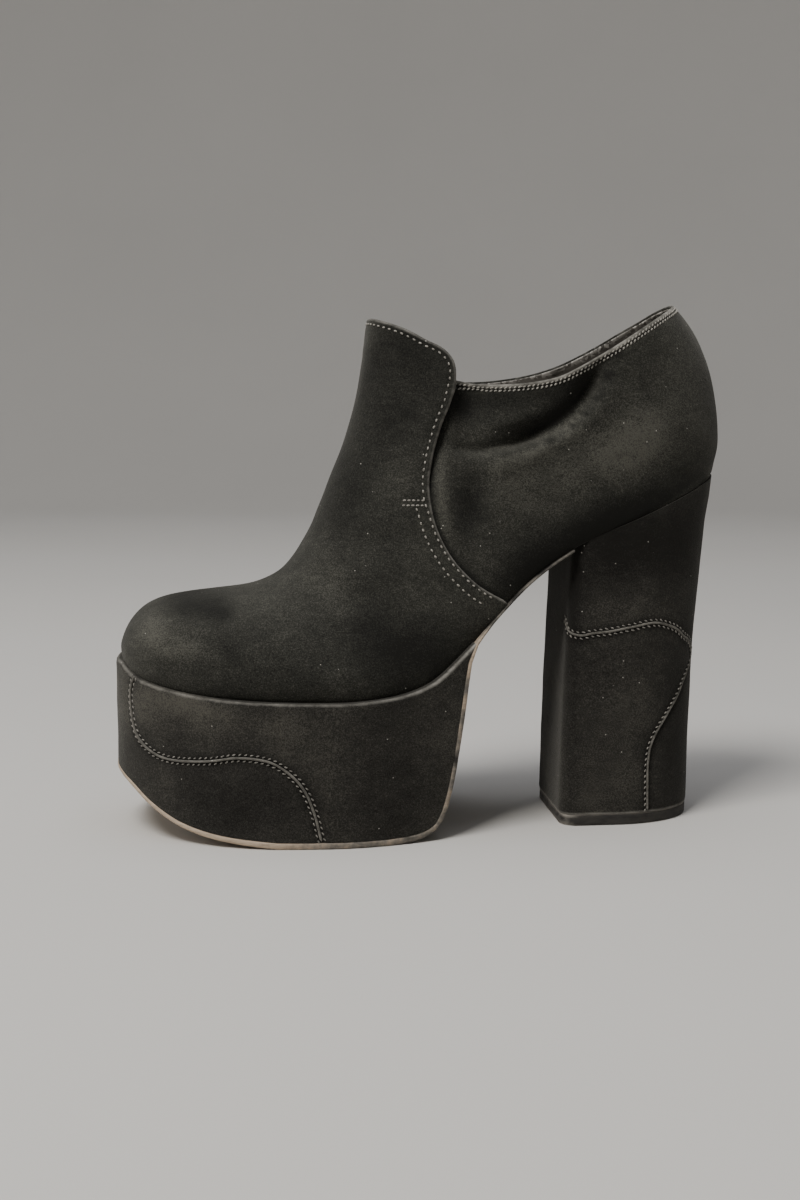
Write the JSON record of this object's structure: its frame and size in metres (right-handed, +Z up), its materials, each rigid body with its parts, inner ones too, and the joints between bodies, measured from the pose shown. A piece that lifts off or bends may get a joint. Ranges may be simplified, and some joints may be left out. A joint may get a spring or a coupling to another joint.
{
  "type": "platform shoe",
  "caption": "Suede ankle-height platform shoe with a tall front flap, covered platform, covered block heel and thin leather outsole.",
  "frame": {"origin": "on the floor, under the middle of the shoe's bounding box", "axes": "-X towards the toe and +X towards the heel, -Y the outer side of the left foot and +Y its inner side, +Z up"},
  "size_m": [0.2426, 0.0996, 0.2057],
  "materials": {
    "suede_upper": "napped suede, charcoal black, lined with smooth leather",
    "leather_insole": "smooth sock leather over a board",
    "suede_platform": "napped suede over a cork block",
    "leather_outsole": "sole leather, worn at the edge",
    "suede_heel": "napped suede over a hollow moulded block",
    "rubber_top_lift": "matt black rubber"
  },
  "bodies": {
    "root": {"upper": "suede_upper", "insole": "leather_insole", "platform": "suede_platform", "outsole": "leather_outsole", "heel": "suede_heel", "top_lift": "rubber_top_lift"}
  },
  "joints": []
}
